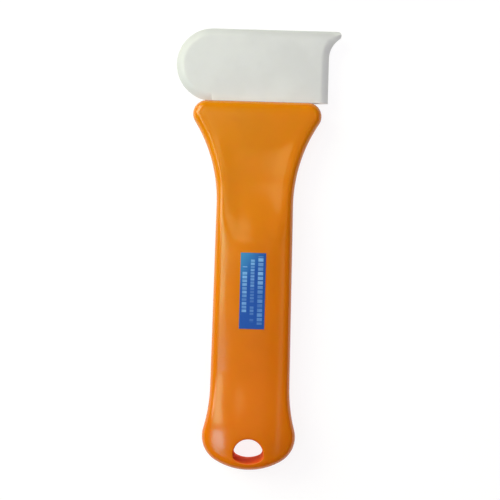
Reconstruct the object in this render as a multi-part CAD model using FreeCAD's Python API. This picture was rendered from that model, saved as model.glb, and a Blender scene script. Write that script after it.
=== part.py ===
import FreeCAD, Part
import math
import os
from FreeCAD import Vector

# Hand scraper with a ceramic blade: a one-piece moulded handle, a blade whose tang sits
# in a slot in the handle's head, and a label on the grip.
#
# Frame, in millimetres: the scraper lies on its flat back. X runs across the handle,
# Y from the butt to the blade, Z up through the thickness. The origin is on the
# handle's middle plane, half-way along the scraper, on the surface that it lies on.
# The pieces are shaped with Y counted from the butt end, and main() centres them.

# Handle, seen from the front
handle_length = 133.5
end_radius = 24.0             # broad arc across the butt end
butt_corner_radius = 10.0
butt_width = 33.8
waist_radius = 56.0           # hollow between the butt and the grip
grip_width = 28.9             # where the waist ends
neck_width = 27.9             # narrowest place, below the flare
neck_place = 96.0             # distance of the narrowest place from the butt end
head_width = 46.9
head_corner_radius = 5.0

# Handle's thickness, and how far its front drops from the middle to the sides
butt_end_thickness = 14.2
butt_thickness = 15.6
butt_crown = 3.4
butt_crest = 13.0             # distance of the thickest place from the butt end
grip_thickness = 13.0
grip_crown = 2.4
grip_start = 36.0
grip_end = 82.0
thumb_rest_thickness = 10.4
thumb_rest_hollow = 0.9       # there the front rises towards the sides instead
thumb_rest_place = 105.0
head_thickness = 10.0         # flat in front from head_start on
head_start = 122.0
front_round = 3.2
back_round = 2.6

# Hanging hole: a D with its flatter side towards the butt end
hole_width = 10.6
hole_height = 8.7
hole_end_wall = 2.8           # left between the hole and the butt end
hole_flat_radius = 9.5
hole_corner_radius = 2.0
hole_rim_bevel = 0.6

# Blade
blade_length = 60.0
blade_height = 26.5
blade_thickness = 2.6
hook_reach = 4.35             # how far the tip stands out past the straight side
hook_radius = 8.8
tip_radius = 1.5
bevel_width = 2.6
edge_land = 0.6               # thickness left along the ground edge
hook_run_out = 40.0           # degrees that the hook's grinding goes on past the tip
tang_width = 32.0
tang_depth = 15.0
tang_corner_radius = 3.0

# Slot for the tang
slot_clearance = 0.05         # on each face of the tang
slot_end_clearance = 0.5

# Label
label_width = 9.1
label_length = 27.4
label_place = 64.6            # distance of its centre from the butt end
label_thickness = 0.15

# How far a blank or a cutter reaches past what it shapes
spare = 4.0

UP = Vector(0, 0, 1)
ACROSS = Vector(1, 0, 0)
ALONG = Vector(0, 1, 0)

# Places that several pieces share
shoulder = handle_length      # the blade stands on the end of the handle's head
blade_middle = head_thickness / 2
blade_top = shoulder + blade_height
blade_side = blade_length / 2 - hook_reach
front_reach = head_width / 2 + spare
blank_depth = 2 * butt_thickness
front_depth = 3 * butt_thickness


def polar(centre, radius, degrees):
    angle = math.radians(degrees)
    return centre + Vector(radius * math.cos(angle), radius * math.sin(angle), 0)


def bearing(start, end):
    """Direction from one point to another, in degrees from +X."""
    return math.degrees(math.atan2(end.y - start.y, end.x - start.x))


def leg(hypotenuse, other):
    """Missing side of the right triangle between the centres of two tangent arcs."""
    return math.sqrt(hypotenuse ** 2 - other ** 2)


def line(start, end):
    return Part.makeLine(start, end)


def arc(centre, radius, start, end):
    """Arc between two bearings, the way that the numbers run."""
    points = [polar(centre, radius, a) for a in (start, (start + end) / 2, end)]
    return Part.Arc(*points).toShape()


def face_of(edges):
    return Part.Face(Part.Wire(Part.sortEdges(edges)[0]))


def symmetric_face(side, across):
    """Face from the edges of its right side and the edges that cross the middle."""
    left = [edge.mirror(Vector(), ACROSS) for edge in side]
    return face_of(side + left + across)


def rounded_rectangle(width, low, high, radius):
    x = width / 2 - radius
    bottom = Vector(x, low + radius, 0)
    top = Vector(x, high - radius, 0)
    side = [
        arc(bottom, radius, -90, 0),
        line(Vector(width / 2, bottom.y, 0), Vector(width / 2, top.y, 0)),
        arc(top, radius, 0, 90),
    ]
    across = [
        line(Vector(-x, low, 0), Vector(x, low, 0)),
        line(Vector(-x, high, 0), Vector(x, high, 0)),
    ]
    return symmetric_face(side, across)


def centred_slab(face, thickness):
    """Extrusion of a front view, centred on the blade's middle plane."""
    slab = face.extrude(UP * thickness)
    slab.translate(UP * (blade_middle - thickness / 2))
    return slab


def edges_where(solid, test):
    return [edge for edge in solid.Edges if test(edge.BoundBox)]


def handle_face():
    """Front view of the handle: arcs and a slight taper, each tangent to the next."""
    end = Vector(0, end_radius, 0)
    corner_x = butt_width / 2 - butt_corner_radius
    corner_drop = leg(end_radius - butt_corner_radius, corner_x)
    corner = Vector(corner_x, end_radius - corner_drop, 0)
    waist_x = grip_width / 2 + waist_radius
    waist_rise = leg(waist_radius + butt_corner_radius, waist_x - corner_x)
    waist = Vector(waist_x, corner.y + waist_rise, 0)

    head = Vector(head_width / 2 - head_corner_radius, handle_length - head_corner_radius, 0)
    spread = head.x - neck_width / 2
    rise = head.y - neck_place
    flare_radius = (spread ** 2 + rise ** 2 - head_corner_radius ** 2) / (
        2 * (head_corner_radius + spread))
    flare = Vector(neck_width / 2 + flare_radius, neck_place, 0)

    # where the grip's side touches both hollow arcs, as a bearing from their centres
    apart = waist.distanceToPoint(flare)
    touch = bearing(waist, flare) + math.degrees(
        math.acos((waist_radius - flare_radius) / apart))
    end_side = bearing(end, corner)
    side = [
        arc(corner, butt_corner_radius, end_side, bearing(corner, waist)),
        arc(waist, waist_radius, bearing(waist, corner) + 360, touch),
        line(polar(waist, waist_radius, touch), polar(flare, flare_radius, touch)),
        arc(flare, flare_radius, touch, bearing(flare, head)),
        arc(head, head_corner_radius, bearing(head, flare), 90),
    ]
    across = [
        arc(end, end_radius, -180 - end_side, end_side),
        line(Vector(-head.x, handle_length, 0), Vector(head.x, handle_length, 0)),
    ]
    return symmetric_face(side, across)


def front_row(place, thickness, crown, width):
    """Three poles of a parabola across the handle, at a place along it.

    It is as high as the thickness in the middle and drops by the crown at half the
    given width. It goes on past the handle's sides.
    """
    side = thickness - crown * (front_reach / (width / 2)) ** 2
    return [
        Vector(-front_reach, place, side),
        Vector(0, place, 2 * thickness - side),
        Vector(front_reach, place, side),
    ]


def eased_rows(start, first, end, last):
    """Rows that lead from one section to another and leave both level."""
    third = (end - start) / 3
    return [
        front_row(start, *first),
        front_row(start + third, *first),
        front_row(end - third, *last),
        front_row(end, *last),
    ]


def under_patch(rows):
    """Room under a stretch of the front, a single span over its rows of poles."""
    degree = len(rows) - 1
    ends = [degree + 1, degree + 1]
    patch = Part.BSplineSurface()
    patch.buildFromPolesMultsKnots(rows, ends, [3, 3], [0, 1], [0, 1], False, False, degree, 2)
    return patch.toShape().extrude(UP * -front_depth)


def under_front():
    """The room below the handle's front, from before the butt to past the head."""
    butt_end = (butt_end_thickness, butt_crown, butt_width)
    butt = (butt_thickness, butt_crown, butt_width)
    grip = (grip_thickness, grip_crown, grip_width)
    thumb_rest = (thumb_rest_thickness, -thumb_rest_hollow, neck_width)
    head = (head_thickness, 0, head_width)
    head_block = Part.makeBox(
        2 * front_reach, handle_length + spare - head_start, front_depth,
        Vector(-front_reach, head_start, head_thickness - front_depth))
    stretches = [
        eased_rows(-spare, butt_end, butt_crest, butt),
        eased_rows(butt_crest, butt, grip_start, grip),
        [front_row(grip_start, *grip), front_row(grip_end, *grip)],
        eased_rows(grip_end, grip, thumb_rest_place, thumb_rest),
        eased_rows(thumb_rest_place, thumb_rest, head_start, head),
    ]
    return head_block.multiFuse([under_patch(rows) for rows in stretches]).removeSplitter()


def hole_face():
    """Front view of the hanging hole: half a circle, closed by a flatter arc."""
    half = hole_width / 2
    top = Vector(0, hole_end_wall + hole_height - half, 0)
    flat = Vector(0, hole_end_wall + hole_flat_radius, 0)
    corner_x = half - hole_corner_radius
    corner_drop = leg(hole_flat_radius - hole_corner_radius, corner_x)
    corner = Vector(corner_x, flat.y - corner_drop, 0)
    flat_side = bearing(flat, corner)
    side = [
        arc(corner, hole_corner_radius, flat_side, 0),
        line(Vector(half, corner.y, 0), Vector(half, top.y, 0)),
    ]
    across = [
        arc(flat, hole_flat_radius, -180 - flat_side, flat_side),
        arc(top, half, 0, 180),
    ]
    return symmetric_face(side, across)


def on_hole_rim(box):
    """Whether an edge runs along the hanging hole's rim, front or back."""
    across = abs(box.Center.x) < hole_width / 2 and box.XLength < butt_width / 2
    along = hole_end_wall < box.Center.y < hole_end_wall + hole_height
    return across and along and box.ZLength < butt_crown


def make_handle():
    """Moulded body: front view under the front surface, rounded, with hole and slot."""
    body = handle_face().extrude(UP * blank_depth).common(under_front())
    front_edges = edges_where(body, lambda box: box.ZMin > blade_middle)
    body = body.makeFillet(front_round, front_edges)
    back_edges = edges_where(body, lambda box: box.ZMax < back_round / 2)
    body = body.makeFillet(back_round, back_edges)

    hole = hole_face().extrude(UP * blank_depth)
    hole.translate(UP * -spare)
    body = body.cut(hole)
    body = body.makeChamfer(hole_rim_bevel, edges_where(body, on_hole_rim))

    slot = rounded_rectangle(
        tang_width + 2 * slot_clearance, shoulder - tang_depth - slot_end_clearance,
        shoulder + spare, tang_corner_radius + slot_clearance)
    body = body.cut(centred_slab(slot, blade_thickness + 2 * slot_clearance))
    return body.Solids[0]


def wedge(edge, outwards):
    """Upright section of what is ground off the front half at a point of the edge."""
    depth = (blade_thickness - edge_land) / 2
    land = blade_middle + edge_land / 2
    reach = bevel_width / 2
    outer = edge + outwards * reach + UP * (land - depth * reach / bevel_width)
    inner = edge - outwards * bevel_width + UP * (land + depth)
    over = UP * blade_thickness
    return Part.Face(Part.makePolygon([outer, inner, inner + over, outer + over, outer]))


def make_blade():
    """Ceramic blade with its tang, ground from both faces along its free edge."""
    half = blade_length / 2
    left = ACROSS * -1
    round_end = Vector(-half + blade_height / 2, shoulder + blade_height / 2, 0)
    tip = Vector(half - tip_radius, blade_top - tip_radius, 0)
    hook_x = blade_side + hook_radius
    hook = Vector(hook_x, tip.y - leg(hook_radius + tip_radius, hook_x - tip.x), 0)
    side_foot = Vector(blade_side, shoulder, 0)
    side_head = Vector(blade_side, hook.y, 0)
    top_start = Vector(round_end.x, blade_top, 0)
    hook_turn = bearing(hook, tip) - 180
    blade = centred_slab(face_of([
        arc(round_end, blade_height / 2, 90, 270),
        line(Vector(round_end.x, shoulder, 0), side_foot),
        line(side_foot, side_head),
        arc(hook, hook_radius, 180, 180 + hook_turn),
        arc(tip, tip_radius, bearing(tip, hook), 90),
        line(Vector(tip.x, blade_top, 0), top_start),
    ]), blade_thickness)

    # one sweep of the wedge for each stretch of the edge
    left_wedge = wedge(round_end + left * (blade_height / 2), left)
    sweeps = [
        left_wedge.revolve(round_end, UP, 90),
        left_wedge.revolve(round_end, UP, -90),
        wedge(top_start, ALONG).extrude(ACROSS * blade_length),
        wedge(side_foot, ACROSS).extrude(side_head - side_foot),
        wedge(side_head, ACROSS).revolve(hook, UP, hook_turn - hook_run_out),
    ]
    for sweep in sweeps:
        blade = blade.cut(sweep).cut(sweep.mirror(UP * blade_middle, UP))

    tang = rounded_rectangle(tang_width, shoulder - tang_depth,
                             shoulder + tang_corner_radius, tang_corner_radius)
    return blade.fuse(centred_slab(tang, blade_thickness)).removeSplitter().Solids[0]


def make_label():
    """Label on the grip, a skin that follows the front's crown."""
    below = under_front()
    above = below.translated(UP * label_thickness)
    outline = Part.makeBox(label_width, label_length, blank_depth,
                           Vector(-label_width / 2, label_place - label_length / 2, 0))
    return outline.common(above).cut(below).Solids[0]


def main():
    os.makedirs("parts", exist_ok=True)
    pieces = {"handle": make_handle(), "blade": make_blade(), "label": make_label()}
    for name, piece in pieces.items():
        piece.translated(ALONG * (-blade_top / 2)).exportStep(f"parts/{name}.step")


if __name__ == "__main__":
    main()
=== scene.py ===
import math

import bmesh
import bpy
from bpy.props import FloatProperty, FloatVectorProperty, PointerProperty
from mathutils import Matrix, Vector
from mathutils.bvhtree import BVHTree


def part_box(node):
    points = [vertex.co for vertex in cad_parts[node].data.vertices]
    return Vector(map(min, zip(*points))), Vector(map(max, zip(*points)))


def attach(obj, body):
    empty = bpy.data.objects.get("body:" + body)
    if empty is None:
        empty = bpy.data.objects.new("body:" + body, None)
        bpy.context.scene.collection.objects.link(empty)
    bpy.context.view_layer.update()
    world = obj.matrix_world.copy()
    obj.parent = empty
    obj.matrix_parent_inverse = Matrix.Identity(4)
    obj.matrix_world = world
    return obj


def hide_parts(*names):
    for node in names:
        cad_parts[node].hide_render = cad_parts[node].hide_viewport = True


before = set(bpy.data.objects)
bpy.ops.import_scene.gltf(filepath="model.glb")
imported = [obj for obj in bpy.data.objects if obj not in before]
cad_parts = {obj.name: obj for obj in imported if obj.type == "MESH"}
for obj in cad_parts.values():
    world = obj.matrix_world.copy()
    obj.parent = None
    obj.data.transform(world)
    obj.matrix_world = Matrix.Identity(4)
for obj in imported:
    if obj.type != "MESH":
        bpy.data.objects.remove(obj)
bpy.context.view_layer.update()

bl_info = {
    "name": "Ceramic Hand Scraper",
    "version": (1, 0, 0),
    "blender": (4, 5, 0),
    "location": "View3D > Sidebar > Scraper",
    "description": "A hand scraper with a moulded handle, a ground ceramic blade and "
                   "a printed label",
    "category": "Object",
}

# The frame is in metres: the scraper lies on z = 0 with its front up, X runs across the
# handle and Y from the butt to the blade. Places along the handle count from its butt end.
MM = 0.001
CLOSE = 0.001 * MM  # places nearer to each other than this count as one
UP = Vector((0, 0, 1))
HANDLE_LOW, HANDLE_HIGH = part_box("handle")
BLADE_LOW, BLADE_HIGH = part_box("blade")
LABEL_LOW, LABEL_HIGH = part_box("label")


def length(name, description, millimetres):
    return FloatProperty(name=name, description=description, default=millimetres * MM,
                         precision=5, unit="LENGTH")


def colour(name, description, value):
    return FloatVectorProperty(name=name, description=description, default=value, size=3,
                               min=0, max=1, subtype="COLOR")


def amount(name, description, value):
    return FloatProperty(name=name, description=description, default=value, min=0)


SPACING = 1.0 * MM   # of the handle's vertices along its outline
RIM_RINGS = 8        # rings of faces across the handle's rounded rim
HOLE_RINGS = 4       # rings across the hole's rounded rims
BUTT_RINGS = 7       # cuts between the hole's rings and the opening round them
RING_SQUEEZE = 0.42  # how far the rim's rings draw together below the hole

# The blend along the flare takes heights across the rim: how far to the side, as a share of
# the blend's reach, and their weights
BLEND_WEIGHTS = ((-1, 1 / 16), (-0.5, 4 / 16), (0, 6 / 16), (0.5, 4 / 16), (1, 1 / 16))
BLEND_LEAD = 0.3     # share of the dish's length by which the blend sets in before it
BLEND_MARGIN = 0.8   # most of the way to the wall that the blend may reach
BLEND_EXTENT = 4     # how far from the wall it goes on, in front roundings

# Painted light and shade on the handle: its plastic is painted redder towards the butt and
# the right side, as shade, and yellower towards the head, as light. How strongly this leans
# across the handle, per metre, and where along the handle it starts and ends
PAINTED_SHADE_LEAN = 12
PAINTED_SHADE_START, PAINTED_SHADE_END = 0.1, 1.1
HOLE_ROUGHNESS = 0.84  # added on the wall of the hole

# Columns of bars on the label, in shares of its width and length: middle, half width, start
# and end of the column, spacing of its bars in rows, and strength of its lower bars
LABEL_COLUMNS = (
    (0.18, 0.09, 0.18, 0.78, 0.9, 0.8),
    (0.485, 0.075, 0.08, 0.91, 0.75, 0.4),
    (0.80, 0.10, 0.045, 0.94, 1.1, 0.55),
)
BAR_HALF = 0.37        # half height of a bar, in rows
COLUMN_SEED = 40.0     # keeps the columns' random bars apart

# Lamps: name, place, aim, size, power in watts, colour, and the kind of ray that passes
# them by
WARM = (0.94, 1, 0.76)
LAMPS = (
    ("overhead", (-0.05, 0, 0.8), (0, 0, 0), (0.8, 0.8), 3.7, (1, 0.85, 1), "glossy"),
    ("window", (-0.55, 0.34, 0.46), (0, 0, 0), (0.6, 0.5), 5.4, WARM, None),
    ("left_panel", (-0.36, 0.019, 0.59), (0, 0.019, 0), (0.157, 0.09), 0.26,
     (0.5, 1, 0.62), "diffuse"),
    ("low_panel", (-0.345, -0.222, 0.59), (0, -0.222, 0), (0.215, 0.12), 0.56,
     (0.25, 0.85, 1), "diffuse"),
    ("right_tube", (0.36, 0, 0.62), (0, 0, 0), (0.7, 0.03), 0.09, WARM, None),
    ("ceiling", (-0.14, 0.2, 0.81), (0, 0, 0), (0.2, 0.2), 0.16, (0.6, 1, 0.5), None),
)


# Properties

class HandleProperties(bpy.types.PropertyGroup):
    end_radius: length("End radius", "Broad arc across the butt end", 24)
    butt_corner: length("Butt corner", "Radius of the butt's corners", 10)
    butt_width: length("Butt width", "Widest place of the butt", 33.8)
    waist_radius: length("Waist radius", "Hollow between the butt and the grip", 56)
    grip_width: length("Grip width", "Where the waist ends", 28.9)
    neck_width: length("Neck width", "Narrowest place, below the flare", 27.9)
    neck_place: length("Neck place", "Distance of the neck from the butt end", 96)
    head_width: length("Head width", "Across the end that holds the blade", 46.9)
    head_corner: length("Head corner", "Radius of the head's corners", 5)
    front_round: length("Front rounding", "Radius along the front's rim", 3.2)
    rim_blend: length("Rim blend", "Softness of the rounding along the flare", 3)
    back_round: length("Back rounding", "Radius along the back's rim", 2.6)
    hole_width: length("Hole width", "Across the hanging hole", 10.6)
    hole_height: length("Hole height", "Hanging hole, along the handle", 8.7)
    hole_wall: length("Hole wall", "Between the hole and the butt end", 2.8)
    hole_flat: length("Hole flat", "Radius of the hole's flatter side", 9.5)
    hole_corner: length("Hole corner", "Radius of the hole's corners", 2)
    hole_rim: length("Hole rim", "Rounding of the hole's rims", 0.6)
    slot_width: length("Slot width", "Slot for the tang, across", 32.1)
    slot_height: length("Slot height", "Slot for the tang, through the thickness", 2.7)
    slot_depth: length("Slot depth", "Slot for the tang, into the head", 15.5)
    slot_corner: length("Slot corner", "Radius of the slot's inner corners", 3.05)
    dish_start: length("Dish start", "Distance of the thumb dish from the butt end", 84)
    dish_length: length("Dish length", "Along the handle", 34)
    dish_low_width: length("Dish low width", "Of its end at the grip", 13)
    dish_top_width: length("Dish top width", "Of its end at the head", 24)
    dish_wall: length("Dish wall", "Width of its soft edge", 6)
    dish_depth: length("Dish depth", "Depth of the thumb dish", 0.4)
    # Painted light and shade: plastic is the lit, yellower tone at the head, and the redder
    # tone below it is painted shade towards the butt and the right side
    plastic: colour("Plastic", "Colour of the plastic at the head", (0.745, 0.253, 0.001))
    shaded_plastic: colour("Butt plastic", "Its slightly redder colour at the butt",
                         (0.745, 0.188, 0.001))
    # Painted shade: the wall of the hole is painted a darker red
    hole_shade: colour("Deep plastic", "Its colour on the wall of the hole", (0.79, 0.09, 0.001))
    roughness: amount("Roughness", "Of the moulded plastic", 0.155)


class BladeProperties(bpy.types.PropertyGroup):
    bevel_width: length("Bevel width", "Width of the ground bevel", 2.6)
    edge_land: length("Edge land", "Thickness left along the ground edge", 0.6)
    hook_reach: length("Hook reach", "How far the tip stands out past the side", 4.35)
    hook_radius: length("Hook radius", "Hollow below the tip", 8.8)
    tip_radius: length("Tip radius", "Rounding of the tip", 1.5)
    tang_width: length("Tang width", "Part of the blade inside the handle, across", 32)
    tang_depth: length("Tang depth", "Part of the blade inside the handle, along", 15)
    tang_corner: length("Tang corner", "Radius of the tang's corners", 3)
    ridge: length("Ridge", "Softness of the ground ridges", 0.6)
    edge_rounding: length("Edge rounding", "Softness of the ground edge", 0.06)
    ceramic: colour("Ceramic", "Colour of the ceramic", (0.72, 0.75, 0.755))
    # Painted shade: the ceramic is painted darker on the bevel, most at the edge
    painted_bevel_shade: amount("Ground shade", "Brightness of the ceramic on its bevel", 0.88)
    roughness: amount("Roughness", "Of the ground ceramic", 0.5)


class LabelProperties(bpy.types.PropertyGroup):
    film: colour("Film", "Ground colour of the label", (0.001, 0.085, 0.45))
    # Painted sheen: the film is painted lighter towards its top left corner
    painted_sheen_film: colour("Light film", "Film at its top left corner", (0.03, 0.27, 0.58))
    print: colour("Print", "Colour of the printed bars", (0.23, 0.56, 0.94))
    row: length("Row", "Spacing of the printed bars", 1.5)
    roughness: amount("Roughness", "Of the glossy film", 0.26)


class StageProperties(bpy.types.PropertyGroup):
    height: length("Camera height", "Height of the camera above the floor", 450)
    lens: FloatProperty(name="Lens", description="Focal length", default=87.5, min=1,
                        unit="CAMERA")
    roll: FloatProperty(name="Roll", description="Turn of the camera about its view",
                        default=math.radians(1.6), subtype="ANGLE", unit="ROTATION")
    floor: colour("Floor", "Colour of the floor", (0.2, 0.2, 0.2))


# Making meshes

def bearing(start, end):
    return math.atan2(end.y - start.y, end.x - start.x)


def at(centre, radius, angle):
    return centre + Vector((math.cos(angle), math.sin(angle), 0)) * radius


def leg(hypotenuse, other):
    return math.sqrt(hypotenuse ** 2 - other ** 2)


def steps_for(distance, spacing):
    return max(1, round(distance / spacing))


def arc(bm, vert, centre, angle, steps):
    """Draw an arc from a vertex about a centre, and return the vertex at its end."""
    made = bmesh.ops.spin(bm, geom=[vert], cent=centre, axis=UP, angle=angle, steps=steps)
    return made["geom_last"][0]


def run(bm, vert, end, steps):
    """Draw a straight run of edges from a vertex, and return the vertex at its end."""
    step = (end - vert.co) / steps
    for _ in range(steps):
        made = bmesh.ops.extrude_vert_indiv(bm, verts=[vert])["verts"][0]
        made.co = vert.co + step
        vert = made
    return vert


def only(kind, items):
    return [item for item in items if isinstance(item, kind)]


def edges_among(verts):
    verts = dict.fromkeys(verts)
    found = dict.fromkeys(edge for vert in verts for edge in vert.link_edges)
    return [edge for edge in found if all(vert in verts for vert in edge.verts)]


def settle_order(bm):
    """Order vertices by their places, and edges and faces by their vertices.

    Some operators leave them in an order that changes from run to run.
    """
    def settle(group, key):
        rank = {item: number for number, item in enumerate(sorted(group, key=key))}
        group.sort(key=rank.get)
        group.index_update()

    settle(bm.verts, lambda vert: tuple(vert.co))
    for group in (bm.edges, bm.faces):
        settle(group, lambda item: sorted(vert.index for vert in item.verts))


def edge_between(a, b):
    return next(edge for edge in a.link_edges if edge.other_vert(a) is b)


def mirror_across(bm, geom):
    bmesh.ops.mirror(bm, geom=geom, axis="X", merge_dist=CLOSE)


def finish_piece(bm, name, node, material, sharp=math.radians(35)):
    """Turn a closed bmesh into a shaded piece that stands for its CAD node."""
    bmesh.ops.remove_doubles(bm, verts=bm.verts, dist=0.002 * MM)
    bmesh.ops.recalc_face_normals(bm, faces=bm.faces)
    settle_order(bm)
    if any(not edge.is_manifold for edge in bm.edges):
        raise RuntimeError(f"{name} is not a closed surface")
    for face in bm.faces:
        face.smooth = True
    for edge in bm.edges:
        edge.smooth = edge.calc_face_angle() < sharp
    mesh = bpy.data.meshes.new(name)
    bm.to_mesh(mesh)
    bm.free()
    piece = bpy.data.objects.new(name, mesh)
    bpy.context.scene.collection.objects.link(piece)
    mesh.materials.append(material)
    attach(piece, "root")
    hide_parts(node)
    return piece


# Making materials

class Nodes:
    """A new Principled material and short calls that add nodes to it."""

    def __init__(self, name):
        self.material = bpy.data.materials.new(name)
        self.material.use_nodes = True
        self.tree = self.material.node_tree
        self.shader = self.tree.nodes["Principled BSDF"]
        self.place = self.add("ShaderNodeTexCoord").outputs["Object"]

    def add(self, kind, inputs=None, **settings):
        node = self.tree.nodes.new(kind)
        for key, value in settings.items():
            setattr(node, key, value)
        for key, value in (inputs or {}).items():
            self.put(node.inputs[key], value)
        return node

    def put(self, socket, value):
        if isinstance(value, bpy.types.NodeSocket):
            self.tree.links.new(value, socket)
        else:
            socket.default_value = value

    def set(self, **inputs):
        for key, value in inputs.items():
            self.put(self.shader.inputs[key.replace("_", " ")], value)

    def math(self, operation, *values):
        node = self.add("ShaderNodeMath", dict(enumerate(values)), operation=operation)
        return node.outputs[0]

    def noise(self, scale, detail=2.0, stretch=(1, 1, 1), rough=0.5):
        """Noise with a pattern size in 1/m, stretched along the axes."""
        mapping = self.add("ShaderNodeMapping", {"Vector": self.place, "Scale": stretch})
        node = self.add("ShaderNodeTexNoise", {
            "Vector": mapping.outputs[0], "Scale": scale, "Detail": detail,
            "Roughness": rough})
        return node.outputs["Fac"]

    def remap_linear(self, value, low, high):
        """Where a value lies between two others, from 0 to 1."""
        return self.math("DIVIDE", self.math("SUBTRACT", value, low), high - low)

    def soft_step(self, value, edge, width):
        """1 where the value is below the edge, 0 above it, soft over a width."""
        return self.remap(self.math("SUBTRACT", value, edge), -width / 2, width / 2, 1, 0)

    def remap(self, value, low, high, new_low, new_high):
        node = self.add("ShaderNodeMapRange", {
            "Value": value, "From Min": low, "From Max": high, "To Min": new_low,
            "To Max": new_high}, interpolation_type="SMOOTHSTEP")
        return node.outputs[0]

    def mix(self, factor, first, second):
        node = self.add("ShaderNodeMix", data_type="RGBA")
        self.put(node.inputs["Factor"], factor)
        for socket, value in ((node.inputs[6], first), (node.inputs[7], second)):
            self.put(socket, value if isinstance(value, bpy.types.NodeSocket)
                     else (*value, 1))
        return node.outputs[2]

    def bump(self, height, distance, strength, below=None):
        inputs = {"Height": height, "Distance": distance, "Strength": strength}
        if below:
            inputs["Normal"] = below
        return self.add("ShaderNodeBump", inputs).outputs[0]


def shade(value, factor):
    return tuple(channel * factor for channel in value)


# Handle

def front_sections(handle):
    """Place, middle height and fall per square of the distance from the middle."""
    # place, height and crown in millimetres, and the width over which it falls by the crown
    sections = [
        (-4, 14.2, 3.4, handle.butt_width),      # butt end
        (13, 15.6, 3.4, handle.butt_width),      # butt's crest
        (36, 13, 2.4, handle.grip_width),        # start of the grip
        (82, 13, 2.4, handle.grip_width),        # end of the grip
        (105, 10.4, -0.9, handle.neck_width),    # thumb rest, hollow
        (122, 10, 0, handle.head_width),         # head, flat
    ]
    return [(place * MM, high * MM, crown * MM / (width / 2) ** 2)
            for place, high, crown, width in sections]


def smooth(share):
    share = min(max(share, 0), 1)
    return share * share * (3 - 2 * share)


def thumb_dish(handle, place):
    """Depth of the shallow dish that softly bounds the thumb rest."""
    along = place.y - HANDLE_LOW.y - handle.dish_start
    share = along / handle.dish_length
    half = handle.dish_low_width / 2 * (1 - share) + handle.dish_top_width / 2 * share
    wall = handle.dish_wall
    inside = min(half - abs(place.x), along, handle.dish_length - along)
    return handle.dish_depth * smooth(inside / wall + 0.5)


def front_height(sections, place):
    """Height of the handle's front before its rim is rounded."""
    along = place.y - HANDLE_LOW.y
    along = min(max(along, sections[0][0]), sections[-1][0])
    for (start, high_1, fall_1), (end, high_2, fall_2) in zip(sections, sections[1:]):
        if along <= end:
            share = smooth((along - start) / (end - start))
            high = high_1 + (high_2 - high_1) * share
            fall = fall_1 + (fall_2 - fall_1) * share
            return high - fall * place.x ** 2


def half_outline(bm, handle, spacing):
    """Half of the handle's front view, from the butt end's middle to the head's."""
    low, high = HANDLE_LOW.y, HANDLE_HIGH.y
    end = Vector((0, low + handle.end_radius, 0))
    corner_x = handle.butt_width / 2 - handle.butt_corner
    corner = Vector((corner_x, end.y - leg(handle.end_radius - handle.butt_corner,
                                           corner_x), 0))
    waist_x = handle.grip_width / 2 + handle.waist_radius
    waist = Vector((waist_x, corner.y + leg(handle.waist_radius + handle.butt_corner,
                                            waist_x - corner_x), 0))
    head = Vector((handle.head_width / 2 - handle.head_corner, high - handle.head_corner, 0))
    spread = head.x - handle.neck_width / 2
    rise = head.y - low - handle.neck_place
    flare_radius = (spread ** 2 + rise ** 2 - handle.head_corner ** 2) / (
        2 * (handle.head_corner + spread))
    flare = Vector((handle.neck_width / 2 + flare_radius, low + handle.neck_place, 0))
    apart = (flare - waist).length
    touch = bearing(waist, flare) + math.acos((handle.waist_radius - flare_radius) / apart)

    def turn(vert, centre, radius, angle, finer=1):
        steps = steps_for(abs(angle) * radius, spacing / finer)
        return arc(bm, vert, centre, angle, steps)

    def straight(vert, end):
        return run(bm, vert, end, steps_for((end - vert.co).length, spacing))

    vert = bm.verts.new((0, low, 0))
    vert = turn(vert, end, handle.end_radius, bearing(end, corner) + math.pi / 2)
    vert = turn(vert, corner, handle.butt_corner,
                bearing(corner, waist) - bearing(end, corner))
    vert = turn(vert, waist, handle.waist_radius,
                touch - bearing(waist, corner) - 2 * math.pi)
    vert = straight(vert, at(flare, flare_radius, touch))
    vert = turn(vert, flare, flare_radius, bearing(flare, head) - touch)
    vert = turn(vert, head, handle.head_corner, math.pi / 2 - bearing(head, flare), 2)
    vert = straight(vert, Vector((handle.slot_width / 2, high, 0)))
    straight(vert, Vector((0, high, 0)))


def outline(bm, handle, spacing):
    half_outline(bm, handle, spacing)
    mirror_across(bm, bm.verts[:] + bm.edges[:])


def wall_tree(handle, spacing):
    """The handle's upright wall, to find how far a place is from it."""
    bm = bmesh.new()
    outline(bm, handle, spacing)
    made = bmesh.ops.extrude_edge_only(bm, edges=bm.edges[:])["geom"]
    bmesh.ops.translate(bm, verts=bm.verts, vec=UP * -10 * MM)
    raised = only(bmesh.types.BMVert, made)
    bmesh.ops.translate(bm, verts=raised, vec=UP * 20 * MM)
    bmesh.ops.recalc_face_normals(bm, faces=bm.faces)
    settle_order(bm)
    tree = BVHTree.FromBMesh(bm)
    bm.free()
    return tree


def hole_loop(bm, handle, grow, level, half_count):
    """Edges of the hanging hole's front view at a level, grown outwards all round."""
    low = HANDLE_LOW.y
    half = handle.hole_width / 2
    top = Vector((0, low + handle.hole_wall + handle.hole_height - half, level))
    flat = Vector((0, low + handle.hole_wall + handle.hole_flat, level))
    corner_x = half - handle.hole_corner
    corner = Vector((corner_x, flat.y - leg(handle.hole_flat - handle.hole_corner,
                                            corner_x), level))
    flat_steps, corner_steps, side_steps = half_count // 9, half_count // 8, half_count // 16
    top_steps = half_count - flat_steps - corner_steps - side_steps
    before = set(bm.verts)
    vert = bm.verts.new(flat - Vector((0, handle.hole_flat + grow, 0)))
    vert = arc(bm, vert, flat, bearing(flat, corner) + math.pi / 2, flat_steps)
    vert = arc(bm, vert, corner, -bearing(flat, corner), corner_steps)
    vert = run(bm, vert, top + Vector((half + grow, 0, 0)), side_steps)
    arc(bm, vert, top, math.pi / 2, top_steps)
    drawn = [vert for vert in bm.verts if vert not in before]
    mirror_across(bm, drawn + edges_among(drawn))
    return edges_among(vert for vert in bm.verts if vert not in before)


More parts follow.
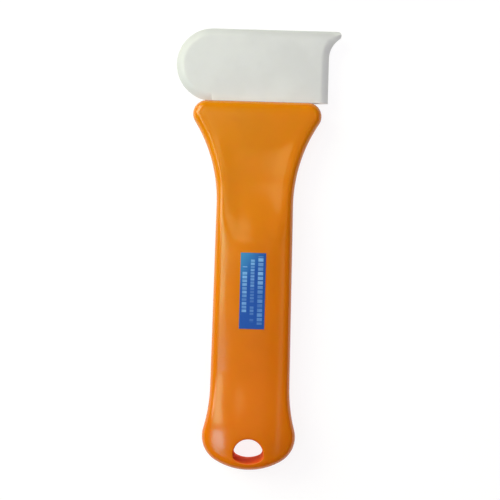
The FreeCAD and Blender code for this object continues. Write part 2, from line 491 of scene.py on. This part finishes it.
def stretch(ring, first, last):
    """Edges along an ordered ring of vertices, from one of them on to another."""
    start = ring.index(first)
    turned = ring[start:] + ring[:start]
    chain = turned[:turned.index(last) + 1]
    return [edge_between(a, b) for a, b in zip(chain, chain[1:])]


def front_view(bm, handle, spacing):
    """The handle's front view as a flat sheet of quads, with the hole left open.

    Rings follow the outline across its rounded rim and run round the hole, and a grid
    fills the grip and the head. Vertices remember how far they are from the hole.
    """
    from_hole = bm.verts.layers.float.new("from_hole")
    outline(bm, handle, spacing)
    middle = bmesh.ops.contextual_create(bm, geom=bm.edges[:])["faces"]
    reached = 0
    for ring in range(1, RIM_RINGS + 1):
        depth = handle.front_round * (1 - math.cos(math.pi / 2 * ring / RIM_RINGS))
        bmesh.ops.inset_region(bm, faces=middle, thickness=depth - reached,
                               use_even_offset=True, use_boundary=True)
        reached = depth
    for vert in bm.verts:
        vert[from_hole] = 1

    # the rings draw together where the hole stands close to the butt end
    near = handle.hole_width / 2 + handle.front_round
    for vert in bm.verts:
        edge_y = HANDLE_LOW.y + handle.end_radius - leg(
            handle.end_radius, min(abs(vert.co.x), near))
        if abs(vert.co.x) < near and vert.co.y < edge_y + 2 * handle.front_round:
            squeeze = RING_SQUEEZE * (1 - (vert.co.x / near) ** 2) ** 2
            vert.co.y = edge_y + (vert.co.y - edge_y) * (1 - squeeze)

    # open the middle and part it in two by a row of edges above the hole
    ring = list(middle[0].verts)
    if middle[0].normal.z < 0:
        ring.reverse()
    bmesh.ops.delete(bm, geom=middle, context="FACES_ONLY")
    row_y = HANDLE_LOW.y + handle.end_radius
    right = min((v for v in ring if v.co.x > 0), key=lambda v: abs(v.co.y - row_y))
    left = min((v for v in ring if v.co.x < 0), key=lambda v: abs(v.co.y - row_y))
    head_right = max(ring, key=lambda v: v.co.y + v.co.x)
    head_left = max(ring, key=lambda v: v.co.y - v.co.x)
    head_edges = stretch(ring, head_right, head_left)
    butt_edges = stretch(ring, left, right)
    before = set(bm.edges)
    row_end = run(bm, right, left.co.copy(), len(head_edges))
    bmesh.ops.weld_verts(bm, targetmap={row_end: left})
    row_edges = [edge for edge in bm.edges if edge not in before]
    bmesh.ops.grid_fill(bm, edges=head_edges + row_edges)

    # rings from the hole across its rounded rim, and on to the opening round it; each is
    # drawn at a level of its own, so that bridging can tell them apart
    around = butt_edges + row_edges
    within = []
    for ring in range(HOLE_RINGS + 1):
        grow = handle.hole_rim * (1 - math.cos(math.pi / 2 * ring / HOLE_RINGS))
        level = (HOLE_RINGS + 1 - ring) * -MM
        loop = hole_loop(bm, handle, grow, level, len(around) // 2)
        for vert in {vert for edge in loop for vert in edge.verts}:
            vert[from_hole] = grow
        if within:
            bmesh.ops.bridge_loops(bm, edges=within + loop)
        within = loop
    spokes = bmesh.ops.bridge_loops(bm, edges=within + around)["edges"]
    bmesh.ops.subdivide_edges(bm, edges=spokes, cuts=BUTT_RINGS, use_grid_fill=True)


def touching_ball(surface, wall, normal, radius):
    """Where a ball that rolls along a wall touches the surface above it.

    Returns the ball's height, and how far beyond its middle it touches the surface.
    """
    middle = wall - normal * radius
    step = normal * (0.05 * MM)
    beyond = 0
    for _ in range(5):
        place = middle + normal * beyond
        slope = (surface(place + step) - surface(place - step)) / (2 * step.length)
        beyond = -radius * slope / math.hypot(1, slope)
    return surface(middle + normal * beyond) - leg(radius, beyond), beyond


def blend_reach(handle, place, distance):
    """How far across the rim the heights are blended at a place this far from the wall."""
    if distance >= BLEND_EXTENT * handle.front_round:
        return 0
    share = (place.y - HANDLE_LOW.y - handle.dish_start) / handle.dish_length
    return smooth(share + BLEND_LEAD) * min(handle.rim_blend, BLEND_MARGIN * distance)


def raise_front(bm, verts, handle, walls):
    """Lift a flat sheet's vertices to the handle's crowned front and its rounded rims."""
    from_hole = bm.verts.layers.float["from_hole"]
    sections = front_sections(handle)

    def surface(place):
        return front_height(sections, place) - thumb_dish(handle, place)

    def rounded(place):
        near, normal, _, distance = walls.find_nearest(place)
        if distance < 2 * handle.front_round:
            ball, beyond = touching_ball(surface, near, normal, handle.front_round)
            if handle.front_round - distance > beyond:
                return ball + leg(handle.front_round, handle.front_round - distance)
        return surface(place)

    for vert in verts:
        flat = Vector((vert.co.x, vert.co.y, 0))
        _, normal, _, distance = walls.find_nearest(flat)
        reach = blend_reach(handle, flat, distance)
        if reach:
            height = sum(weight * rounded(flat + normal * reach * share)
                         for share, weight in BLEND_WEIGHTS)
        else:
            height = rounded(flat)
        vert.co.z = height - rim_drop(handle.hole_rim, vert[from_hole])


def raise_back(bm, verts, handle, walls):
    """Give a flat sheet's vertices the rounded rims of the handle's flat back."""
    from_hole = bm.verts.layers.float["from_hole"]
    for vert in verts:
        distance = walls.find_nearest(Vector((vert.co.x, vert.co.y, 0)))[3]
        vert.co.z = HANDLE_LOW.z + rim_drop(handle.back_round, distance) + rim_drop(
            handle.hole_rim, vert[from_hole])


def rim_drop(radius, distance):
    """How far a rounded rim falls away, at a distance from its wall."""
    return radius - leg(radius, radius - distance) if distance < radius else 0


def handle_mesh(handle, spacing):
    """The handle: its front view raised to a front and a back, with the tang's slot."""
    bm = bmesh.new()
    front_view(bm, handle, spacing)
    walls = wall_tree(handle, spacing)
    back = bm.verts[:]
    made = bmesh.ops.extrude_face_region(bm, geom=bm.faces[:])["geom"]
    front = only(bmesh.types.BMVert, made)
    upright = [edge for vert in front for edge in vert.link_edges
               if edge.calc_length() < CLOSE]
    raise_front(bm, front, handle, walls)
    raise_back(bm, back, handle, walls)

    # two rows round the wall, level with the slot's faces, and the slot between them
    middle = (BLADE_LOW.z + BLADE_HIGH.z) / 2
    from_hole = bm.verts.layers.float["from_hole"]
    outer = [edge for edge in upright if edge.verts[0][from_hole] > handle.hole_rim]
    made = bmesh.ops.subdivide_edges(bm, edges=outer, cuts=2, use_grid_fill=True)
    rows = set(only(bmesh.types.BMVert, made["geom_inner"]))
    for vert in rows:
        above = any(other.co.z > vert.co.z and other not in rows
                    for other in (edge.other_vert(vert) for edge in vert.link_edges))
        vert.co.z = middle + handle.slot_height / 2 * (1 if above else -1)
    slot = [face for face in bm.faces if all(
        vert in rows and vert.co.y > HANDLE_HIGH.y - CLOSE
        and abs(vert.co.x) < handle.slot_width / 2 + CLOSE for vert in face.verts)]
    made = bmesh.ops.extrude_face_region(bm, geom=slot)["geom"]
    bmesh.ops.delete(bm, geom=slot, context="FACES")
    inner = only(bmesh.types.BMVert, made)
    bmesh.ops.translate(bm, verts=inner, vec=Vector((0, -handle.slot_depth, 0)))

    # round the slot's inner corners
    corner = handle.slot_corner
    corner_x = handle.slot_width / 2 - corner
    for vert in inner:
        past = (abs(vert.co.x) - corner_x) / corner
        if past > 0:
            angle = min(past, 1) * math.pi / 2
            vert.co.x = math.copysign(corner_x + corner * math.sin(angle), vert.co.x)
            vert.co.y += corner * (1 - math.cos(angle))
    return bm


def handle_material(handle):
    """Glossy moulded plastic, with painted shade: redder towards the butt and the right side,
    and a darker red painted on the wall of the hole, which is also duller.
    """
    nodes = Nodes("moulded_plastic")
    split = nodes.add("ShaderNodeSeparateXYZ", {0: nodes.place})
    along = nodes.remap_linear(split.outputs["Y"], HANDLE_LOW.y, HANDLE_HIGH.y)
    # painted shade: the tone drifts to the redder one towards the butt and the right side
    shade_lean = nodes.math("MULTIPLY", split.outputs["X"], PAINTED_SHADE_LEAN)
    painted_shade_drift = nodes.math("SUBTRACT", along, shade_lean)
    mottle = nodes.remap(nodes.noise(60, 3), 0.3, 0.7, 0, 1)
    base = nodes.mix(nodes.remap(painted_shade_drift, PAINTED_SHADE_START, PAINTED_SHADE_END, 0, 1), *(
        nodes.mix(mottle, shade(tone, 0.97), shade(tone, 1.03))
        for tone in (handle.shaded_plastic, handle.plastic)))
    smudges = nodes.noise(110, 4, (1, 0.5, 1))
    grain = nodes.noise(2600, 2)
    ripple = nodes.noise(240, 2)
    polish = nodes.remap(smudges, 0.3, 0.75, handle.roughness * 0.85, handle.roughness * 1.2)
    from_hole = nodes.add("ShaderNodeAttribute", attribute_name="from_hole").outputs["Fac"]
    in_hole = nodes.remap(from_hole, 0, handle.hole_rim, 1, 0)
    # painted shade: the hole's wall is painted a darker red, and made rougher
    base = nodes.mix(in_hole, base, tuple(handle.hole_shade))
    rough = nodes.math("ADD", polish, nodes.math("MULTIPLY", in_hole, HOLE_ROUGHNESS))
    normal = nodes.bump(ripple, 0.0004, 0.05)
    normal = nodes.bump(grain, 0.00002, 0.3, normal)
    nodes.set(Base_Color=base, Roughness=rough, Normal=normal, IOR=1.49,
              Subsurface_Weight=0.35, Subsurface_Radius=(1, 0.3, 0.08),
              Subsurface_Scale=2 * MM)
    return nodes.material


class SCRAPER_OT_handle(bpy.types.Operator):
    """Build the moulded handle"""
    bl_idname = "scraper.handle"
    bl_label = "Handle"

    def execute(self, context):
        handle = context.scene.scraper_handle
        finish_piece(handle_mesh(handle, SPACING), "moulded_handle", "handle",
                     handle_material(handle))
        return {"FINISHED"}


# Blade

def soften(bm, least, most, size, segments):
    """Round the edges whose faces meet at an angle between two others."""
    edges = [edge for edge in bm.edges if least < edge.calc_face_angle() < most]
    bmesh.ops.bevel(bm, geom=edges, offset=size, offset_type="OFFSET", segments=segments,
                    profile=0.5, affect="EDGES", material=-1)


def blade_mesh(blade):
    """The blade: a bevel swept round its free edge on each face, flats, land and tang.

    It is made on z = 0, from its front half and a mirrored back half, and then lifted.
    """
    bm = bmesh.new()
    side_of = bm.edges.layers.int.new("side_of")
    face = (BLADE_HIGH.z - BLADE_LOW.z) / 2
    land = blade.edge_land / 2
    fall = (face - land) / blade.bevel_width
    shoulder, top = HANDLE_HIGH.y, BLADE_HIGH.y
    radius = (top - shoulder) / 2
    round_end = Vector((BLADE_LOW.x + radius, shoulder + radius, 0))
    side = BLADE_HIGH.x - blade.hook_reach
    tip = Vector((BLADE_HIGH.x - blade.tip_radius, top - blade.tip_radius, 0))
    hook_x = side + blade.hook_radius
    hook = Vector((hook_x, tip.y - leg(blade.hook_radius + blade.tip_radius,
                                       hook_x - tip.x), 0))

    def section(place, inwards):
        """An edge across the bevel, from the land up to the face."""
        outer = bm.verts.new((place.x, place.y, land))
        inner = bm.verts.new((*(place + inwards * blade.bevel_width).xy, face))
        return bm.edges.new((outer, inner))

    def turn(edge, centre, angle, steps):
        made = bmesh.ops.spin(bm, geom=[edge, *edge.verts], cent=centre, axis=UP,
                              angle=angle, steps=steps)["geom_last"]
        return only(bmesh.types.BMEdge, made)[0]

    def straight(edge, vec):
        made = bmesh.ops.extrude_edge_only(bm, edges=[edge])["geom"]
        verts = only(bmesh.types.BMVert, made)
        bmesh.ops.translate(bm, verts=verts, vec=vec)
        return edge_between(*verts)

    def ends(edge):
        return sorted(edge.verts, key=lambda vert: vert.co.z)

    # bevels; those of the top and of the hooked side meet in a mitre below the tip
    inner_radius = blade.hook_radius + blade.bevel_width
    rise = top - blade.bevel_width - hook.y
    mitre_turn = math.asin(rise / inner_radius)
    mitre_x = hook.x - leg(inner_radius, rise)
    left_foot = section(Vector((round_end.x, shoulder, 0)), Vector((0, 1, 0)))
    edge = turn(left_foot, round_end, -math.pi, 48)
    top_end = straight(edge, Vector((mitre_x - round_end.x, 0, 0)))
    right_foot = section(Vector((side, shoulder, 0)), Vector((-1, 0, 0)))
    edge = straight(right_foot, Vector((0, hook.y - shoulder, 0)))
    hook_end = turn(edge, hook, -mitre_turn, 14)

    # the tip, with the ridge between its two bevels
    swept = set(bm.verts)
    top_outer, top_inner = ends(top_end)
    hook_outer, mitre = ends(hook_end)
    tip_half = (math.pi / 2 - bearing(tip, hook)) / 2
    vert = arc(bm, hook_outer, hook, bearing(hook, tip) - math.pi + mitre_turn, 6)
    ridge_end = arc(bm, vert, tip, tip_half, 8)
    vert = arc(bm, ridge_end, tip, tip_half, 8)
    bm.edges.new((vert, top_outer))
    ridge = bm.verts.new((tip.x, tip.y, land))
    bm.edges.new((ridge_end, ridge))
    bm.edges.new((ridge, mitre))
    for vert in set(bm.verts) - swept:
        depth = min(top - vert.co.y, (vert.co - hook).xy.length - blade.hook_radius)
        vert.co.z = land + fall * max(depth, 0)
    bmesh.ops.weld_verts(bm, targetmap={top_inner: mitre})
    tip_edges = [edge for edge in bm.edges if edge.is_wire]
    bmesh.ops.edgenet_fill(bm, edges=tip_edges + [
        edge_between(hook_outer, mitre), edge_between(top_outer, mitre)])

    # the flat, which runs on to the tang, and the end of the round end's bevel
    left_outer, left_inner = ends(left_foot)
    right_inner = ends(right_foot)[1]
    bevelled = [edge for edge in bm.edges if edge.is_boundary]
    flat_edges = [edge for edge in bevelled
                  if min(vert.co.z for vert in edge.verts) > face - CLOSE]
    free_edges = set(bevelled) - set(flat_edges) - {left_foot, right_foot}
    corner = bm.verts.new((left_outer.co.x, shoulder, face))
    half, inside = blade.tang_width / 2, shoulder - blade.tang_depth
    vert = run(bm, corner, Vector((-half, shoulder, face)), 1)
    vert = run(bm, vert, Vector((-half, inside + blade.tang_corner, face)), 1)
    turning = Vector((-half + blade.tang_corner, inside + blade.tang_corner, face))
    vert = arc(bm, vert, turning, math.pi / 2, 8)
    turning.x = half - blade.tang_corner
    vert = run(bm, vert, Vector((turning.x, inside, face)), 1)
    vert = arc(bm, vert, turning, math.pi / 2, 8)
    vert = run(bm, vert, Vector((half, shoulder, face)), 1)
    bm.edges.new((vert, right_inner))
    foot_edges = [edge for edge in bm.edges if edge.is_wire]
    bm.edges.new((left_inner, corner))
    bmesh.ops.contextual_create(bm, geom=flat_edges + [
        edge for edge in bm.edges if edge.is_wire])
    bmesh.ops.contextual_create(bm, geom=[left_outer, left_inner, corner])

    # the back half, the land along the free edge, and the foot's walls
    for edge in bm.edges:
        edge[side_of] = 1 if edge in free_edges else 2 if edge in foot_edges else 0
    bmesh.ops.mirror(bm, geom=bm.verts[:] + bm.edges[:] + bm.faces[:], axis="Z")
    for number in (1, 2):
        bmesh.ops.bridge_loops(bm, edges=[
            edge for edge in bm.edges if edge[side_of] == number])
    for level in (-land, land):
        upright = [face for face in bm.faces if abs(face.normal.z) < 0.01
                   and max(vert.co.y for vert in face.verts) < shoulder + CLOSE]
        around = {item for face in upright for item in (*face.verts, *face.edges)}
        bmesh.ops.bisect_plane(bm, geom=upright + list(around), plane_co=UP * level,
                               plane_no=UP)
    bmesh.ops.remove_doubles(bm, verts=bm.verts, dist=CLOSE)
    bmesh.ops.holes_fill(bm, edges=[edge for edge in bm.edges if edge.is_boundary])

    # the ridges between the flats and the bevels, then the two edges of the land
    soften(bm, math.radians(15), math.radians(30), blade.ridge, 4)
    soften(bm, math.radians(50), math.radians(80), blade.edge_rounding, 2)
    bmesh.ops.translate(bm, verts=bm.verts, vec=UP * (BLADE_LOW.z + BLADE_HIGH.z) / 2)
    return bm


def blade_material(blade):
    """Satin white ceramic, with fine grinding lines that follow the free edge, and painted
    shade on its bevel.
    """
    nodes = Nodes("ground_ceramic")
    cloud = nodes.noise(90, 3)
    base = nodes.mix(nodes.remap(cloud, 0.3, 0.7, 0, 1), shade(blade.ceramic, 0.97),
                     shade(blade.ceramic, 1.02))
    split = nodes.add("ShaderNodeSeparateXYZ", {0: nodes.place})
    middle = (BLADE_LOW.z + BLADE_HIGH.z) / 2
    off_middle = nodes.math("ABSOLUTE", nodes.math("SUBTRACT", split.outputs["Z"], middle))
    on_bevel = nodes.remap(off_middle, blade.edge_land / 2, BLADE_HIGH.z - middle, 1, 0)
    # painted shade: the bevel is painted darker, down to the edge
    base = nodes.mix(on_bevel, base, shade(blade.ceramic, blade.painted_bevel_shade))
    lines = nodes.add("ShaderNodeTexNoise", {
        "W": split.outputs["Z"], "Scale": 20000, "Detail": 2}, noise_dimensions="1D")
    grain = nodes.noise(3000, 3)
    rough = nodes.remap(nodes.noise(130, 4), 0.3, 0.7, blade.roughness * 0.9,
                        blade.roughness * 1.12)
    normal = nodes.bump(lines.outputs["Fac"], 0.00001, 0.25)
    normal = nodes.bump(grain, 0.00001, 0.25, normal)
    nodes.set(Base_Color=base, Roughness=rough, Normal=normal, IOR=1.6,
              Subsurface_Weight=0.5, Subsurface_Radius=(1, 1, 0.9), Subsurface_Scale=2 * MM)
    return nodes.material


class SCRAPER_OT_blade(bpy.types.Operator):
    """Build the ground ceramic blade"""
    bl_idname = "scraper.blade"
    bl_label = "Blade"

    def execute(self, context):
        blade = context.scene.scraper_blade
        finish_piece(blade_mesh(blade), "ceramic_blade", "blade",
                     blade_material(blade))
        return {"FINISHED"}


# Label

def label_mesh(sections):
    """A thin film that follows the front's crown."""
    bm = bmesh.new()
    middle = (LABEL_LOW + LABEL_HIGH) / 2
    size = LABEL_HIGH - LABEL_LOW
    bmesh.ops.create_grid(bm, x_segments=12, y_segments=36, size=0.5)
    bmesh.ops.scale(bm, verts=bm.verts, vec=(size.x, size.y, 1))
    bmesh.ops.translate(bm, verts=bm.verts, vec=(middle.x, middle.y, 0))
    thickness = LABEL_HIGH.z - front_height(sections, Vector((0, middle.y, 0)))
    made = bmesh.ops.extrude_face_region(bm, geom=bm.faces[:])["geom"]
    raised = set(only(bmesh.types.BMVert, made))
    for vert in bm.verts:
        vert.co.z = front_height(sections, vert.co) + (thickness if vert in raised else 0)
    return bm


def label_material(label):
    """Glossy film printed with three columns of plain light bars, and a painted sheen at its
    top left corner.
    """
    nodes = Nodes("printed_film")
    height = LABEL_HIGH.y - LABEL_LOW.y
    split = nodes.add("ShaderNodeSeparateXYZ", {0: nodes.place})
    across = nodes.remap_linear(split.outputs["X"], LABEL_LOW.x, LABEL_HIGH.x)
    along = nodes.remap_linear(split.outputs["Y"], LABEL_HIGH.y, LABEL_LOW.y)
    ink = nodes.remap(nodes.noise(400, 2), 0.35, 0.65, 0.7, 1)
    printed = 0.0
    for number, (centre, half, start, end, pitch, faint) in enumerate(LABEL_COLUMNS):
        row = nodes.math("DIVIDE", nodes.math("MULTIPLY", along, height),
                         label.row * pitch)
        in_row = nodes.math("ABSOLUTE", nodes.math("SUBTRACT", nodes.math("FRACT", row), 0.5))
        column = nodes.math("ABSOLUTE", nodes.math("SUBTRACT", across, centre))
        span = nodes.math("ABSOLUTE", nodes.math("SUBTRACT", along, (start + end) / 2))
        chance = nodes.add("ShaderNodeTexWhiteNoise", {
            "W": nodes.math("ADD", nodes.math("FLOOR", row), COLUMN_SEED * number)},
            noise_dimensions="1D").outputs["Value"]
        reach = nodes.remap(chance, 0.08, 0.12, 0, BAR_HALF)
        marks = [nodes.soft_step(column, half, 0.03), nodes.soft_step(in_row, reach, 0.1),
                 nodes.soft_step(span, (end - start) / 2, 0.004),
                 nodes.remap(chance, 0.1, 1, 0.5, 1), ink,
                 nodes.remap(along, 0.25, 0.55, 1, faint)]
        bars = marks[0]
        for mark in marks[1:]:
            bars = nodes.math("MULTIPLY", bars, mark)
        printed = nodes.math("MAXIMUM", printed, bars)
    # painted sheen: the film lightens towards its top left corner
    corner = nodes.math("ADD", along, nodes.math("MULTIPLY", across, 0.5))
    film = nodes.mix(nodes.remap(corner, 0, 0.6, 1, 0), tuple(label.film),
                     tuple(label.painted_sheen_film))
    base = nodes.mix(printed, film, tuple(label.print))
    wrinkle = nodes.noise(160, 2)
    nodes.set(Base_Color=base, Roughness=label.roughness,
              Normal=nodes.bump(wrinkle, 0.0002, 0.12), IOR=1.5)
    return nodes.material


class SCRAPER_OT_label(bpy.types.Operator):
    """Build the printed label on the grip"""
    bl_idname = "scraper.label"
    bl_label = "Label"

    def execute(self, context):
        label = context.scene.scraper_label
        sections = front_sections(context.scene.scraper_handle)
        finish_piece(label_mesh(sections), "printed_label", "label",
                     label_material(label))
        return {"FINISHED"}


# Stage

def set_piece(bm, name, material):
    """Piece of the set around the scraper, not part of it."""
    mesh = bpy.data.meshes.new(name)
    bm.to_mesh(mesh)
    bm.free()
    mesh.materials.append(material)
    piece = bpy.data.objects.new(name, mesh)
    bpy.context.scene.collection.objects.link(piece)
    return piece


def area_light(name, place, aim, size, power, tint):
    light = bpy.data.lights.new(name, "AREA")
    light.shape = "RECTANGLE"
    light.size, light.size_y = size
    light.energy = power
    light.color = tint
    lamp = bpy.data.objects.new(name, light)
    lamp.location = place
    lamp.rotation_euler = (Vector(aim) - Vector(place)).to_track_quat("-Z", "Y").to_euler()
    bpy.context.scene.collection.objects.link(lamp)
    return lamp


class SCRAPER_OT_stage(bpy.types.Operator):
    """Set up the floor, the soft light and the camera"""
    bl_idname = "scraper.stage"
    bl_label = "Stage"

    def execute(self, context):
        stage = context.scene.scraper_stage
        nodes = Nodes("pale_floor")
        nodes.set(Base_Color=(*stage.floor, 1), Roughness=0.8, IOR=1.2,
                  Emission_Color=(1, 1, 1, 1), Emission_Strength=0.85)
        bm = bmesh.new()
        bmesh.ops.create_grid(bm, x_segments=1, y_segments=1, size=1.5)
        bmesh.ops.translate(bm, verts=bm.verts, vec=UP * -0.02 * MM)
        set_piece(bm, "floor", nodes.material)
        nodes = Nodes("pale_wall")
        nodes.set(Base_Color=(0, 0, 0, 1), Emission_Color=(1, 1, 1, 1),
                  Emission_Strength=0.9, IOR=1)
        bm = bmesh.new()
        bmesh.ops.create_uvsphere(bm, u_segments=48, v_segments=24, radius=2)
        wall = set_piece(bm, "wall", nodes.material)
        wall.visible_diffuse = wall.visible_glossy = wall.visible_shadow = False

        world = bpy.data.worlds.new("soft_room")
        world.use_nodes = True
        background = world.node_tree.nodes["Background"]
        background.inputs["Color"].default_value = (1, 1, 1, 1)
        background.inputs["Strength"].default_value = 0.05
        context.scene.world = world
        for name, place, aim, size, power, tint, passed_by in LAMPS:
            lamp = area_light(name, place, aim, size, power, tint)
            if passed_by:
                setattr(lamp, "visible_" + passed_by, False)

        camera = bpy.data.objects.new("camera", bpy.data.cameras.new("camera"))
        camera.data.lens = stage.lens
        camera.data.sensor_width = 36
        camera.data.clip_start = 0.01
        camera.location = (-0.0013, -0.0007, stage.height)
        camera.rotation_euler = (0, 0, stage.roll)
        context.scene.collection.objects.link(camera)
        context.scene.camera = camera
        context.scene.view_settings.view_transform = "Standard"
        return {"FINISHED"}


# Panel and registration

class SCRAPER_PT_panel(bpy.types.Panel):
    """Sizes, colours and pieces of the scraper"""
    bl_idname = "SCRAPER_PT_panel"
    bl_label = "Scraper"
    bl_space_type = "VIEW_3D"
    bl_region_type = "UI"
    bl_category = "Scraper"

    def draw(self, context):
        for operator, name in zip(OPERATORS, GROUPS):
            box = self.layout.box()
            box.operator(operator.bl_idname)
            group = getattr(context.scene, name)
            for prop in group.__annotations__:
                box.prop(group, prop)


GROUPS = {
    "scraper_handle": HandleProperties,
    "scraper_blade": BladeProperties,
    "scraper_label": LabelProperties,
    "scraper_stage": StageProperties,
}
OPERATORS = (SCRAPER_OT_handle, SCRAPER_OT_blade, SCRAPER_OT_label, SCRAPER_OT_stage)
CLASSES = (*GROUPS.values(), *OPERATORS, SCRAPER_PT_panel)


def register():
    for cls in CLASSES:
        bpy.utils.register_class(cls)
    for name, group in GROUPS.items():
        setattr(bpy.types.Scene, name, PointerProperty(type=group))


def unregister():
    for name in GROUPS:
        delattr(bpy.types.Scene, name)
    for cls in reversed(CLASSES):
        bpy.utils.unregister_class(cls)


def main():
    register()
    bpy.ops.scraper.stage()
    bpy.ops.scraper.handle()
    bpy.ops.scraper.blade()
    bpy.ops.scraper.label()


if __name__ == "__main__":
    main()
